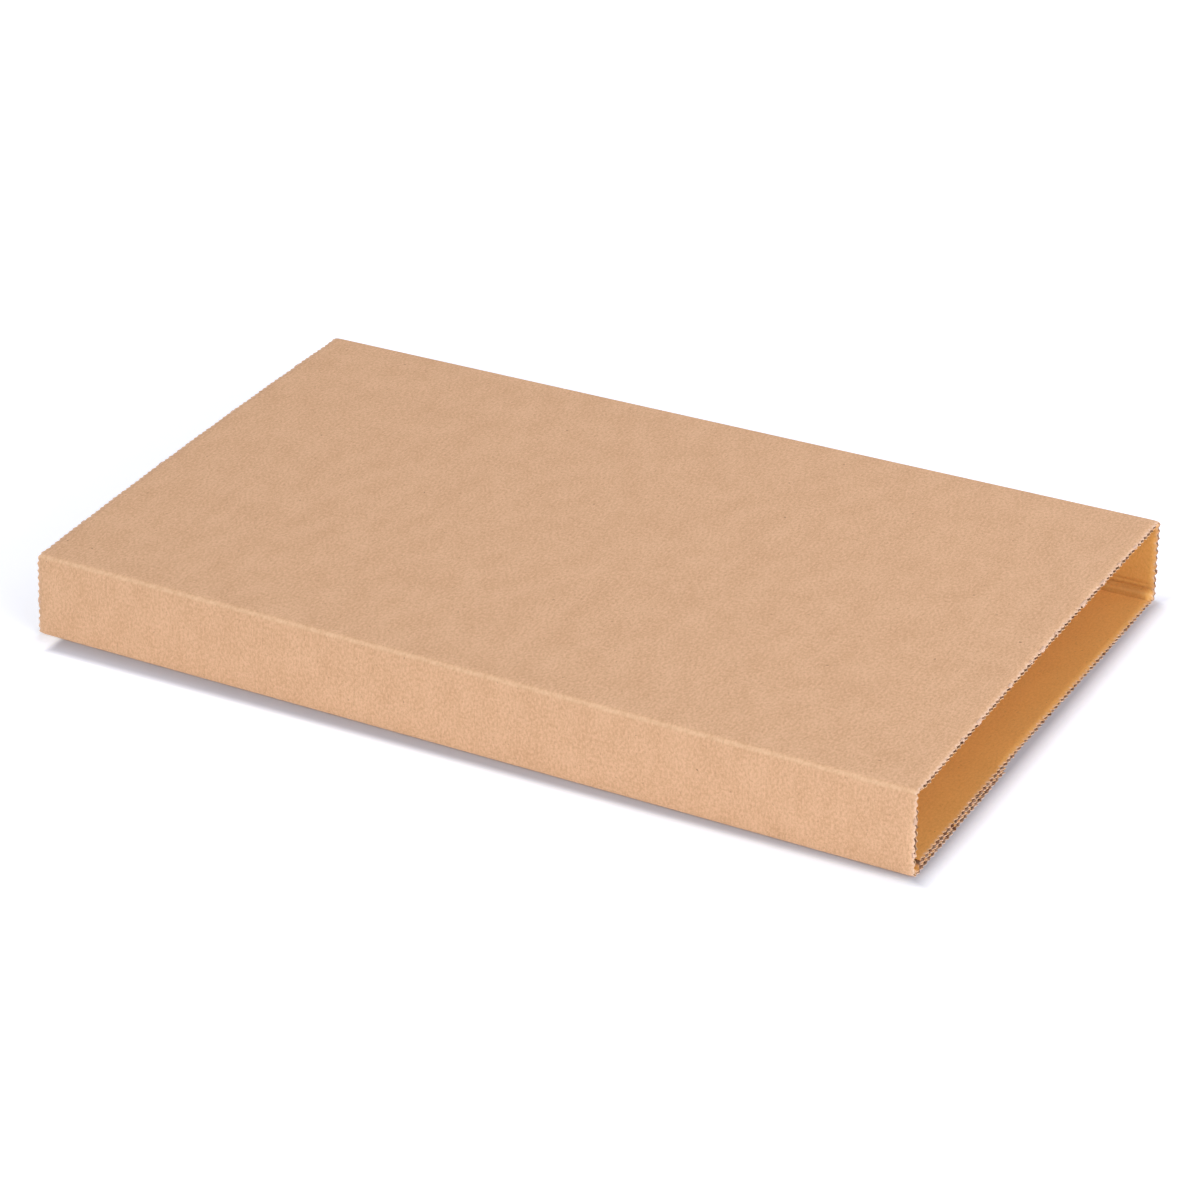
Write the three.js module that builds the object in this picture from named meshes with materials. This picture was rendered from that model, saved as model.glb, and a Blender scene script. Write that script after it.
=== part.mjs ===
// Corrugated board sleeve: one fluted kraft sheet, creased along its flutes, folded into a flat
// rectangular tube and glued along a lap under its bottom panel. Both short ends are open and
// wave cut. Millimetres, +Z up, +X along the flutes, the lap's fold on the -Y side.

import * as THREE from 'three';

// Sleeve
const sleeveLength = 440; // between the middles of the two wave cuts
const sleeveWidth = 238; // over the side walls, at their feet
const wallHeight = 38.5; // over the board, measured along a side wall
const flapWidth = 84; // glued flap under the bottom panel, from the near wall's outside
const topCrown = 1.5; // rise of the top panel between its two folds
const wallBulge = 0.4; // the same outwards, on each side wall
const leanAtMinusX = 11; // degrees that the side walls lean towards +Y at the -X end
const leanAtPlusX = 7.2; // the same at the +X end: the empty tube stands a little twisted

// Board
const boardCaliper = 2.6; // both liners and the fluted medium
const linerCaliper = 0.35;
const mediumCaliper = 0.3;
const flutePitch = 6.2;
const fluteUnevenness = 0.05; // how far a flute's hollow strays up or down in the board
const strayPerHollow = 2.4; // radians of that straying from one hollow to the next
const strayPerPitch = 1.5; // and within a hollow
const hollowHalfShare = 0.44; // of the pitch, at the foot of a hollow
const roofKnots = [0.25, 0.09]; // of the pitch, where a hollow's roof bends

// Creased folds
const foldRadius = 3; // outside of the fold
const beadRadius = 2.6; // inner liner rolled up in the corner of the fold
const beadLift = 0.6; // how far the bead stands out of that corner, along each panel
const beadStart = -20; // degrees at which the bead leaves the panel before the fold
const beadEnd = 110; // and meets the one after it
const bentSkinRatio = 1.3; // thickness of a liner that is bent tight, to a flat one
const hollowMarginDegrees = 10; // degrees of solid board at each end of the hollow behind a bend
const grooveWidth = 0.8; // from the bead to the bottom of the pressed groove beside it
const grooveSink = 1.1; // depth of that groove in the inner liner
const ridgeSink = 0.35; // crushed flute between that groove and the next
const ridgeShare = 0.4; // its share of the way across both grooves
const faintGrooveSink = 0.7; // second groove, pressed on the side walls only
const faintGrooveShare = 0.6;
const crushWidth = 5; // from the bead to flutes that the crease has left whole
const lapCrushWidth = 1.5; // the same on the flap, which ends its crush under the panel's edge
const edgeGap = 0.5; // from that crush to the bottom panel's free edge
const edgeMargin = 2; // solid board between a free edge and its first flute

// Wave cut ends
const toothPitch = 3.3;
const toothDepth = 0.9; // root to tip
const toothThickness = 0.2; // paper behind a tooth, at its root

// Fineness
const topChords = 16;
const wallChords = 8;
const bottomChords = 12;
const foldChords = 4;
const beadChords = 5;
const hollowChords = 3;
const stationClearance = 0.3; // closest that a tooth comes to a corner of the outline

const colour = { kraft: 0xd8ab89 };

const vector = (y, z) => new THREE.Vector2(y, z);
const degrees = THREE.MathUtils.degToRad;

/** Point of the section, with its distance along the unfolded blank. */
function station(point, blank) {
  return { y: point.x, z: point.y, blank };
}

/** Straight or gently bowed board between two folds; the section is seen from +X, Y to the right. */
class Panel {
  /**
   * @param {THREE.Vector2} from outer corner where the panel starts
   * @param {THREE.Vector2} to outer corner where it ends
   * @param {object} form startTrim and endTrim, what a fold or nothing takes off each end; bow, the
   *   outward offset at a distance from the start corner, and bowEnd, where that ends; startCrush
   *   and endCrush, the sinks of the inner liner beside each fold; chords, the pieces that a bowed
   *   face is drawn in
   */
  constructor(from, to, form) {
    this.from = from;
    this.length = from.distanceTo(to);
    this.direction = to.clone().sub(from).normalize();
    this.outward = vector(-this.direction.y, this.direction.x);
    this.bow = form.bow ?? (() => 0);
    this.bowEnd = form.bowEnd ?? this.length;
    this.chords = form.chords ?? 1;
    this.startTrim = form.startTrim;
    this.endTrim = form.endTrim;
    this.startCrush = form.startCrush ?? [];
    this.endCrush = form.endCrush ?? [];
  }

  /** Point at a distance from the start corner and a depth below the outer face. */
  at(distance, depth) {
    return this.from.clone()
      .addScaledVector(this.direction, distance)
      .addScaledVector(this.outward, this.bow(distance) - depth);
  }

  /** Distances from first to last, in chords as far as the panel bows. */
  chordDistances(first, last) {
    const bowed = Math.min(last, this.bowEnd) - first;
    const chords = Array.from({ length: this.chords }, (_, i) => first + bowed * i / this.chords);
    return this.bowEnd < last ? [...chords, this.bowEnd, last] : [...chords, last];
  }

  stationAt(distance, depth) {
    return station(this.at(distance, depth), this.blankStart + distance);
  }

  outerFace(first = this.startTrim, last = this.length - this.endTrim) {
    return this.chordDistances(first, last).map((distance) => this.stationAt(distance, 0));
  }

  /** Inner face, with its pressed grooves and ridges beside the folds. */
  innerFace(first = 0, last = this.length) {
    const bead = boardCaliper + beadRadius;
    const start = this.startCrush.map(([reach, sink]) => [bead + reach, sink]);
    const end = this.endCrush.map(([reach, sink]) => [this.length - bead - reach, sink]).reverse();
    const middleStart = start.length ? start.at(-1)[0] : first;
    const middleEnd = end.length ? end[0][0] : last;
    const middle = this.chordDistances(middleStart, middleEnd).map((distance) => [distance, 0]);
    const profile = [...start.slice(0, -1), ...middle, ...end.slice(1)];
    return profile.map(([distance, sink]) => this.stationAt(distance, boardCaliper - sink));
  }

  /** First and last distance at which the flutes are whole. */
  fluted() {
    const bead = boardCaliper + beadRadius;
    const start = this.startCrush.length ? bead + this.startCrush.at(-1)[0] : edgeMargin;
    const end = this.endCrush.length ? bead + this.endCrush.at(-1)[0] : edgeMargin;
    return [start, this.length - end];
  }
}

const panelCrush = [[grooveWidth, grooveSink], [crushWidth / 2, 0]];
const lapCrush = [[grooveWidth, grooveSink], [lapCrushWidth, 0]];
const wallCrush = [
  [grooveWidth, grooveSink],
  [(grooveWidth + crushWidth) * ridgeShare, ridgeSink],
  [(grooveWidth + crushWidth) * faintGrooveShare, faintGrooveSink],
  [crushWidth, 0],
];

/** The five panels in the order of the blank, from the flap's free edge to the bottom's. */
function makePanels() {
  const nearFoot = vector(0, 0);
  const nearHead = vector(0, wallHeight);
  const farHead = vector(sleeveWidth, wallHeight);
  const farFoot = vector(sleeveWidth, 0);
  const freeEdge = boardCaliper + beadRadius + lapCrushWidth + edgeGap;
  const crown = (rise, length) => (distance) => {
    const share = THREE.MathUtils.clamp((distance - foldRadius) / (length - 2 * foldRadius), 0, 1);
    return 4 * rise * share * (1 - share);
  };
  const trims = { startTrim: foldRadius, endTrim: foldRadius };
  const wall = {
    ...trims, startCrush: wallCrush, endCrush: wallCrush,
    bow: crown(wallBulge, wallHeight), chords: wallChords,
  };
  const lapEdge = sleeveWidth - flapWidth;
  const ontoFlap = (distance) => -boardCaliper * THREE.MathUtils.smoothstep(distance, foldRadius, lapEdge);
  const panels = [
    new Panel(vector(flapWidth, 0), nearFoot, { startTrim: 0, endTrim: foldRadius, endCrush: lapCrush }),
    new Panel(nearFoot, nearHead, wall),
    new Panel(nearHead, farHead, {
      ...trims, startCrush: panelCrush, endCrush: panelCrush,
      bow: crown(topCrown, sleeveWidth), chords: topChords,
    }),
    new Panel(farHead, farFoot, wall),
    new Panel(farFoot, vector(freeEdge, 0), {
      startTrim: foldRadius, endTrim: 0, startCrush: panelCrush,
      bow: ontoFlap, bowEnd: lapEdge, chords: bottomChords,
    }),
  ];
  const foldSaving = (2 - Math.PI / 2) * foldRadius;
  panels.reduce((blank, panel) => {
    panel.blankStart = blank;
    return blank + panel.length - foldSaving;
  }, 0);
  return panels;
}

/** Crease between two panels at a right angle, before the tube leans. */
class Fold {
  constructor(before, after) {
    this.back = before.direction.clone().negate();
    this.on = after.direction;
    this.corner = after.from;
    this.blankStart = before.blankStart + before.length - foldRadius;
    this.blankEnd = after.blankStart + foldRadius;
  }

  /** Point on the circle about a centre that lies inset from the corner along both panels. */
  onCircle(inset, radius, angle) {
    return this.corner.clone()
      .addScaledVector(this.back, inset + radius * Math.cos(angle))
      .addScaledVector(this.on, inset + radius * Math.sin(angle));
  }

  arc(inset, radius, fromAngle, toAngle, chords) {
    return Array.from({ length: chords + 1 }, (_, i) => {
      const share = i / chords;
      const angle = THREE.MathUtils.lerp(fromAngle, toAngle, share);
      const blank = THREE.MathUtils.lerp(this.blankStart, this.blankEnd, share);
      return station(this.onCircle(inset, radius, degrees(angle)), blank);
    });
  }

  /** Outer liner's bend, without its ends, which are the panels' own. */
  outerBend() {
    return this.arc(foldRadius, foldRadius, 270, 180, foldChords).slice(1, -1);
  }

  /** Rolled bead of the inner liner, which overhangs its grooves a little. */
  bead() {
    return this.arc(boardCaliper + beadLift, beadRadius, beadStart, beadEnd, beadChords);
  }

  /** Hollows that the crushed medium leaves behind the bead and behind the outer liner. */
  hollows() {
    const skin = linerCaliper * bentSkinRatio;
    const behindBead = this.arc(boardCaliper + beadLift, beadRadius - skin, 0, 90, hollowChords);
    const heart = station(this.onCircle(boardCaliper + beadLift, 0, 0), this.blankStart);
    const bendRadius = foldRadius - skin;
    const behindLiner = this.arc(
      foldRadius, bendRadius, 270 - hollowMarginDegrees, 180 + hollowMarginDegrees, hollowChords,
    );
    return [[heart, ...behindBead], behindLiner];
  }
}

/** Outline of one hollow between the medium and a liner, counted along the blank in half pitches. */
function fluteHollow(panel, count) {
  const distance = count * flutePitch / 2 - panel.blankStart;
  const againstOuter = count % 2 === 0;
  const height = boardCaliper - 2 * linerCaliper - mediumCaliper;
  const roof = (share) => {
    const angle = 2 * Math.PI * share;
    const slope = (height * Math.PI / flutePitch) * Math.sin(angle);
    const middle = mediumCaliper / 2 + (height / 2) * (1 + Math.cos(angle));
    return middle - (mediumCaliper / 2) * Math.hypot(1, slope);
  };
  const half = [[hollowHalfShare, 0], ...roofKnots.map((share) => [share, roof(share)])];
  const outline = [...half.map(([share, rise]) => [-share, rise]), ...[...half].reverse()];
  return outline.map(([share, rise]) => {
    const depth = againstOuter ? linerCaliper + rise : boardCaliper - linerCaliper - rise;
    const stray = fluteUnevenness * Math.sin(strayPerHollow * count + strayPerPitch * share);
    return panel.stationAt(distance + share * flutePitch, depth + stray);
  });
}

/** Hollows of every flute that the creases and the free edges leave whole. */
function fluteHollows(panels) {
  const halfPitch = flutePitch / 2;
  return panels.flatMap((panel) => {
    const [first, last] = panel.fluted();
    const firstCount = Math.ceil((panel.blankStart + first + halfPitch) / halfPitch);
    const lastCount = Math.floor((panel.blankStart + last - halfPitch) / halfPitch);
    const length = Math.max(0, lastCount - firstCount + 1);
    return Array.from({ length }, (_, i) => fluteHollow(panel, firstCount + i));
  });
}

const area = (loop) => THREE.ShapeUtils.area(loop.map(({ y, z }) => vector(y, z)));
const wound = (loop, sign) => (Math.sign(area(loop)) === sign ? loop : [...loop].reverse());

/** The section before it leans: its outline, the inside of the tube and the hollows in the board. */
function makeSection() {
  const panels = makePanels();
  const [flap, nearWall, top, farWall, bottom] = panels;
  const folds = panels.slice(1).map((panel, i) => new Fold(panels[i], panel));
  const [nearFoot, nearHead, farHead, farFoot] = folds;
  const lapEdge = sleeveWidth - flapWidth;
  const freeEdge = flap.length - (sleeveWidth - bottom.length);
  const outline = [
    ...flap.outerFace(), ...nearFoot.outerBend(), ...nearWall.outerFace(), ...nearHead.outerBend(),
    ...top.outerFace(), ...farHead.outerBend(), ...farWall.outerFace(), ...farFoot.outerBend(),
    ...bottom.outerFace(foldRadius, lapEdge),
  ];
  const inside = [
    ...flap.innerFace(freeEdge), ...nearFoot.bead(), ...nearWall.innerFace(), ...nearHead.bead(),
    ...top.innerFace(), ...farHead.bead(), ...farWall.innerFace(), ...farFoot.bead(),
    ...bottom.innerFace(),
  ];
  const hollows = [...folds.flatMap((fold) => fold.hollows()), ...fluteHollows(panels)];
  return {
    outline: wound(outline, 1),
    inside: wound(inside, -1),
    hollows: hollows.map((hollow) => wound(hollow, -1)),
  };
}

/** Reach of the wave cut beyond its middle line, root to tip in half a tooth. */
function wave(blank) {
  const phase = THREE.MathUtils.euclideanModulo(blank / toothPitch, 1);
  return toothDepth * (Math.abs(2 * phase - 1) - 0.5);
}

/** Tips and roots of the wave cut along one edge of the section, clear of its corners. */
function teethBetween(here, next) {
  const halfTooth = toothPitch / 2;
  const span = Math.hypot(next.y - here.y, next.z - here.z);
  const cutAcrossBoard = Math.abs(next.blank - here.blank) > 2 * span;
  if (cutAcrossBoard) return [];
  const [low, high] = [here.blank, next.blank].sort((a, b) => a - b);
  const teeth = [];
  for (let blank = Math.ceil(low / halfTooth) * halfTooth; blank < high; blank += halfTooth) {
    const share = (blank - here.blank) / (next.blank - here.blank);
    if (Math.min(share, 1 - share) * span < stationClearance) continue;
    const y = THREE.MathUtils.lerp(here.y, next.y, share);
    const z = THREE.MathUtils.lerp(here.z, next.z, share);
    teeth.push({ y, z, blank });
  }
  return next.blank < here.blank ? teeth.reverse() : teeth;
}

/** Loop moved into the board by a distance; the board lies on the left of its direction. */
function inset(loop, distance) {
  const left = (a, b) => vector(a.z - b.z, b.y - a.y).normalize();
  return loop.map((here, i) => {
    const before = left(loop.at(i - 1), here);
    const after = left(here, loop[(i + 1) % loop.length]);
    const mitre = before.clone().add(after).multiplyScalar(distance / (1 + before.dot(after)));
    return { ...here, y: here.y + mitre.x, z: here.z + mitre.y };
  });
}

/** Place in the standing tube of a point of the section, at a distance along the tube. */
function stand({ y, z }, x) {
  const lean = degrees(THREE.MathUtils.lerp(leanAtMinusX, leanAtPlusX, x / sleeveLength + 0.5));
  return [x, y + z * Math.sin(lean), z * Math.cos(lean)];
}

/** Collects the closed skin of the tube, ring by ring. */
class Skin {
  positions = [];
  triangles = [];

  /** Adds a vertex for each station and returns their indices. */
  ring(stations, x) {
    return stations.map((here) => {
      this.positions.push(...stand(here, typeof x === 'function' ? x(here) : x));
      return this.positions.length / 3 - 1;
    });
  }

  add(triangles, flipped = false) {
    triangles.forEach(([a, b, c]) => this.triangles.push(...(flipped ? [c, b, a] : [a, b, c])));
  }

  /** Triangles between two rows that start and end beside each other, the board on their left. */
  stitch(low, high, flipped) {
    const triangles = [];
    let i = 0;
    let j = 0;
    while (i < low.length - 1 || j < high.length - 1) {
      if ((i + 0.5) / (low.length - 1) < (j + 0.5) / (high.length - 1) || j === high.length - 1) {
        triangles.push([low[i], low[i + 1], high[j]]);
        i += 1;
      } else {
        triangles.push([low[i], high[j + 1], high[j]]);
        j += 1;
      }
    }
    this.add(triangles, flipped);
  }

  /** Wall between two rings with a vertex for vertex match. */
  wall(low, high) {
    low.forEach((_, i) => {
      const j = (i + 1) % low.length;
      this.stitch([low[i], low[j]], [high[i], high[j]], false);
    });
  }

  geometry() {
    const geometry = new THREE.BufferGeometry();
    geometry.setAttribute('position', new THREE.Float32BufferAttribute(this.positions, 3));
    geometry.setIndex(this.triangles);
    geometry.computeBoundingBox();
    const middle = geometry.boundingBox.getCenter(new THREE.Vector3());
    geometry.translate(-middle.x, -middle.y, -geometry.boundingBox.min.z);
    geometry.computeVertexNormals();
    return geometry;
  }
}

/** One face of the board at one end: the body's last ring, the teeth on it and the cut behind them. */
function toothedEdge(skin, loop, end) {
  const flipped = end < 0;
  const body = skin.ring(loop, end * (sleeveLength / 2 - toothPitch));
  const cut = skin.ring(inset(loop, toothThickness), end * (sleeveLength / 2 - toothDepth / 2));
  const rows = loop.map((here, i) => [here, ...teethBetween(here, loop[(i + 1) % loop.length])]);
  const teeth = rows.map((row) => skin.ring(row, (here) => end * sleeveLength / 2 + wave(here.blank)));
  loop.forEach((_, i) => {
    const j = (i + 1) % loop.length;
    const row = [...teeth[i], teeth[j][0]];
    skin.stitch([body[i], body[j]], row, flipped);
    skin.stitch(row, [cut[i], cut[j]], flipped);
  });
  return { body, cut };
}

/** The whole sheet, folded and glued, as one closed skin. */
function makeSleeve() {
  const { outline, inside, hollows } = makeSection();
  const skin = new Skin();
  const ends = [-1, 1].map((end) => {
    const [outer, inner] = [outline, inside].map((loop) => toothedEdge(skin, loop, end));
    const cutPlane = end * (sleeveLength / 2 - toothDepth / 2);
    const tunnels = hollows.map((hollow) => skin.ring(hollow, cutPlane));
    const plan = [inset(outline, toothThickness), inset(inside, toothThickness), ...hollows]
      .map((loop) => loop.map(({ y, z }) => vector(y, z)));
    const indices = [outer.cut, inner.cut, ...tunnels].flat();
    const faces = THREE.ShapeUtils.triangulateShape(plan[0], plan.slice(1));
    skin.add(faces.map((face) => face.map((i) => indices[i])), end < 0);
    return { outer, inner, tunnels };
  });
  const [minus, plus] = ends;
  skin.wall(minus.outer.body, plus.outer.body);
  skin.wall(minus.inner.body, plus.inner.body);
  minus.tunnels.forEach((tunnel, i) => skin.wall(tunnel, plus.tunnels[i]));
  return skin.geometry();
}

const kraftBoard = new THREE.MeshStandardMaterial({ color: colour.kraft, roughness: 0.9, metalness: 0 });
const sleeve = new THREE.Mesh(makeSleeve(), kraftBoard);
sleeve.name = 'sleeve';

const wraparoundSleeve = new THREE.Group();
wraparoundSleeve.add(sleeve);

export default wraparoundSleeve;
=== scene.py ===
"""Looks of an open-ended sleeve of corrugated kraft board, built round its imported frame.

The outer liner, the fluted medium and the inner liner start as flat sheets. There they get their
flutes, crushed creases and wave-cut ends. Then they are folded round the tube and stood up with
its lean and twist.
Metres, +Z up, +X along the flutes, the lap's fold on the -Y side.
"""

from __future__ import annotations

import logging
import math
from dataclasses import dataclass, field
from enum import Enum
from functools import partial
from typing import Callable, Sequence

import bmesh
import bpy
import numpy as np
from bmesh.types import BMesh
from bpy.types import ID, Material, Mesh, Node, NodeSocket, NodeTree, Object
from mathutils import Euler, Matrix, Vector

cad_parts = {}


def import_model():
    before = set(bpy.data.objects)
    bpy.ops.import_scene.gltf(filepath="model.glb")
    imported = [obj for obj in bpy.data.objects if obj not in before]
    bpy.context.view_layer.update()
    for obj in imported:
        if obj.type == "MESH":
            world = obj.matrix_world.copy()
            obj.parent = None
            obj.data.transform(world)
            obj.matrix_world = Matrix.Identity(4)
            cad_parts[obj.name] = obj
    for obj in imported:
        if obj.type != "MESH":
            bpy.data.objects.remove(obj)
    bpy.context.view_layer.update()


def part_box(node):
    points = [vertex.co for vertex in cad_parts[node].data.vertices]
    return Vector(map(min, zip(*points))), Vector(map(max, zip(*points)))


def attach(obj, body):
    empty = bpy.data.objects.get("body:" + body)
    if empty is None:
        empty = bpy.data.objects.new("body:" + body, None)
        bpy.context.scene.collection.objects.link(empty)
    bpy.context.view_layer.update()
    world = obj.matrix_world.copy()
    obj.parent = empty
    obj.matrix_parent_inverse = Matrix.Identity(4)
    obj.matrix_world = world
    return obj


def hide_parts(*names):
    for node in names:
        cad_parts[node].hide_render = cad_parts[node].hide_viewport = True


LOG = logging.getLogger("kraft_sleeve")

MM = 0.001
SAME_PLACE = 1e-9  # metres between points of a path that count as one
NODE = "sleeve"
BODY = "root"

SHEET_MAP = "sheet"  # UV map: place on the unfolded board in metres, across the flutes and along them
CREASE = "crease"  # point attribute: 1 on a fold, 0 on open board
CUT = "cut"  # point attribute: 1 on a cut edge, 0 inside the sheet
PAINTED_GROOVE_SHADE = "bruise"  # point attribute: 1 in a pressed groove of the inner liner, where painted shade darkens it
PAINTED_FLUTE_SHADE = "flute_side"  # point attribute: 1 on the liners' faces towards the flutes, where painted shade darkens the flute openings

Array = np.ndarray
Curve = Callable[[Array], Array]
Pair = tuple[float, float]
Triple = tuple[float, float, float]
Quad = tuple[float, float, float, float]
Steps = tuple[Pair, ...]  # distance from a bead and depth of each groove and ridge


def smoothstep(value: Array, low: float, high: float) -> Array:
    """Eased step from 0 at low to 1 at high."""
    share = np.clip((value - low) / (high - low), 0, 1)
    return share * share * (3 - 2 * share)


def wobble(place: Array, waves: Sequence[Triple]) -> Array:
    """Sum of a few sine waves, for the slow unevenness of paper.

    Args:
        place: distance in metres at each point.
        waves: height, wavelength in metres and phase of each wave.

    Returns:
        The summed height at each point.
    """
    return sum(height * np.sin(2 * math.pi * place / length + phase) for height, length, phase in waves)


def walked(path: Array) -> Array:
    """Distance along a path to each of its points."""
    return np.concatenate([[0], np.cumsum(np.linalg.norm(np.diff(path, axis=0), axis=1))])


def away_from_sleeve(azimuth: float, elevation: float) -> Vector:
    """Unit vector towards a lamp or camera, by degrees from -Y round to +X and above the ground."""
    turn, rise = math.radians(azimuth), math.radians(elevation)
    return Vector((math.sin(turn) * math.cos(rise), -math.cos(turn) * math.cos(rise), math.sin(rise)))


def put_in_scene(name: str, data: ID) -> Object:
    """Makes an object of a mesh, a lamp or a camera.

    Args:
        name: the object's name.
        data: what it shows.

    Returns:
        The object, linked to the scene at the origin.
    """
    piece = bpy.data.objects.new(name, data)
    bpy.context.scene.collection.objects.link(piece)
    return piece


def close_mesh(name: str, made: BMesh) -> Mesh:
    """Turns a finished BMesh into a mesh.

    Args:
        name: the mesh's name.
        made: its shape, which is freed.

    Returns:
        The mesh.
    """
    mesh = bpy.data.meshes.new(name)
    made.to_mesh(mesh)
    made.free()
    return mesh


def vertex_places(mesh: Mesh) -> Array:
    """Reads a mesh's vertices.

    Args:
        mesh: the mesh.

    Returns:
        Three coordinates of each vertex.
    """
    places = np.zeros(len(mesh.vertices) * 3)
    mesh.vertices.foreach_get("co", places)
    return places.reshape(-1, 3)


def map_sheet(mesh: Mesh, places: Array) -> None:
    """Writes the UV map that the finishes are laid out on.

    Args:
        mesh: a ply or the scraps.
        places: two coordinates of each vertex on the sheet.
    """
    corners = np.zeros(len(mesh.loops), dtype=np.int32)
    mesh.loops.foreach_get("vertex_index", corners)
    layer = mesh.uv_layers.new(name=SHEET_MAP)
    layer.uv.foreach_set("vector", places[corners].astype(np.float32).ravel())


@dataclass(frozen=True)
class Board:
    """Single-wall board and how its creases and its cut ends are pressed, in metres."""

    caliper: float = 2.6 * MM
    liner: float = 0.30 * MM
    medium: float = 0.22 * MM
    flute_pitch: float = 6.2 * MM

    fold_radius: float = 2.4 * MM
    bead_radius: float = 1.6 * MM
    bead_lift: float = 0.35 * MM
    bead_sweep: Pair = (-20, 110)  # degrees that the bead turns through
    bead_chords: int = 14
    easing: int = 8  # smoothing passes over the pressed kinks
    groove_width: float = 0.8 * MM
    groove_sink: float = 1.3 * MM
    ridge_sink: float = 0.35 * MM
    ridge_place: float = 0.4  # share of the crushed width, from the bead
    faint_groove_sink: float = 0.7 * MM
    faint_groove_place: float = 0.6
    crush_width: float = 5.0 * MM
    lap_crush_width: float = 1.5 * MM
    edge_gap: float = 0.2 * MM

    tooth_pitch: float = 3.3 * MM
    tooth_depth: float = 0.8 * MM
    tooth_reach: float = 3.0 * MM
    pinch: float = 0.38  # share of the board's thickness that the knife presses shut
    pinch_reach: float = 2.6 * MM
    lap_relief: float = 0.75  # share of the pinch that the lap springs back from
    fray_sink: float = 0.15 * MM  # how far the frayed edge stands back from the wave cut
    fray: tuple[Triple, ...] = (
        (0.10 * MM, 1.9 * MM, 0.3), (0.08 * MM, 7.3 * MM, 1.1), (0.12 * MM, 31 * MM, 2.0),
    )

    crease_line: Pair = (0.2 * MM, 1.3 * MM)  # worn line with a painted highlight: from a fold, full and gone
    cut_line: float = 1.5 * MM  # frayed colour: from a cut edge
    groove_shade_depths: Pair = (0.2 * MM, 1.0 * MM)  # groove depth where the painted shade starts, is full

    @property
    def bead_reach(self) -> float:
        """Distance from a fold's outer corner to the far side of its bead."""
        return self.caliper + self.bead_radius

    def wall_crush(self) -> Steps:
        """Grooves and ridges on a side wall, from the bead to the first whole board."""
        crushed = self.groove_width + self.crush_width
        return (
            (self.groove_width, self.groove_sink),
            (crushed * self.ridge_place, self.ridge_sink),
            (crushed * self.faint_groove_place, self.faint_groove_sink),
            (self.crush_width, 0.0),
        )

    def short_crush(self, reach: float) -> Steps:
        """One groove, and whole board from a reach beyond the bead."""
        return ((self.groove_width, self.groove_sink), (reach, 0.0))

    def wave(self, blank: Array) -> Array:
        """Reach of the wave cut beyond its middle line, by distance along the unfolded board."""
        phase = np.mod(blank / self.tooth_pitch, 1)
        return self.tooth_depth * (np.abs(2 * phase - 1) - 0.5)


@dataclass(frozen=True)
class Tube:
    """The folded tube, in metres and degrees."""

    length: float = 440 * MM
    width: float = 238 * MM
    wall_height: float = 38.5 * MM
    flap: float = 84 * MM
    top_crown: float = 1.5 * MM
    wall_bulge: float = 0.4 * MM
    glue: float = 0.08 * MM
    lean_at_minus_x: float = 11.0
    lean_at_plus_x: float = 7.2

    def lean(self, along: Array) -> Array:
        """Angle in radians by which the side walls lean towards +Y at a distance along the tube."""
        share = along / self.length + 0.5
        return np.radians(self.lean_at_minus_x + (self.lean_at_plus_x - self.lean_at_minus_x) * share)


@dataclass
class Panel:
    """Board between two folds, in a section seen from +X with Y to the right."""

    corner: Array
    end: Array
    rise: Curve
    start_crush: Steps = ()
    end_crush: Steps = ()
    blank: float = 0.0

    @property
    def length(self) -> float:
        """Distance between the panel's two outer corners."""
        return float(np.linalg.norm(self.end - self.corner))

    @property
    def direction(self) -> Array:
        """Unit vector from the first corner to the last."""
        return (self.end - self.corner) / self.length

    @property
    def outward(self) -> Array:
        """Unit vector out of the tube."""
        return np.array([-self.direction[1], self.direction[0]])

    def at(self, distance: Array, depth: Array | float) -> Array:
        """Points at distances from the first corner and depths below the outer face."""
        offset = self.rise(distance) - depth
        return self.corner + np.outer(distance, self.direction) + np.outer(offset, self.outward)


class Rail:
    """Path of one face of the board through the section, by distance along the unfolded board."""

    def __init__(self, blank: Array, place: Array) -> None:
        """Keeps the path with its inward normals, less any point that repeats the one before it.

        Args:
            blank: distance along the unfolded board of each point, rising.
            place: Y and Z of each point.
        """
        keep = np.concatenate([[True], np.diff(blank) > SAME_PLACE])
        self.blank, self.place = blank[keep], place[keep]
        tangent = np.gradient(self.place, self.blank, axis=0)
        tangent /= np.linalg.norm(tangent, axis=1, keepdims=True)
        self.inward = np.stack([tangent[:, 1], -tangent[:, 0]], axis=1)

    def at(self, blank: Array, depth: Array) -> Array:
        """Y and Z of points at distances along the board and depths below this face."""
        return np.stack([
            np.interp(blank, self.blank, self.place[:, axis])
            + depth * np.interp(blank, self.blank, self.inward[:, axis])
            for axis in (0, 1)
        ], axis=1)


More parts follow.
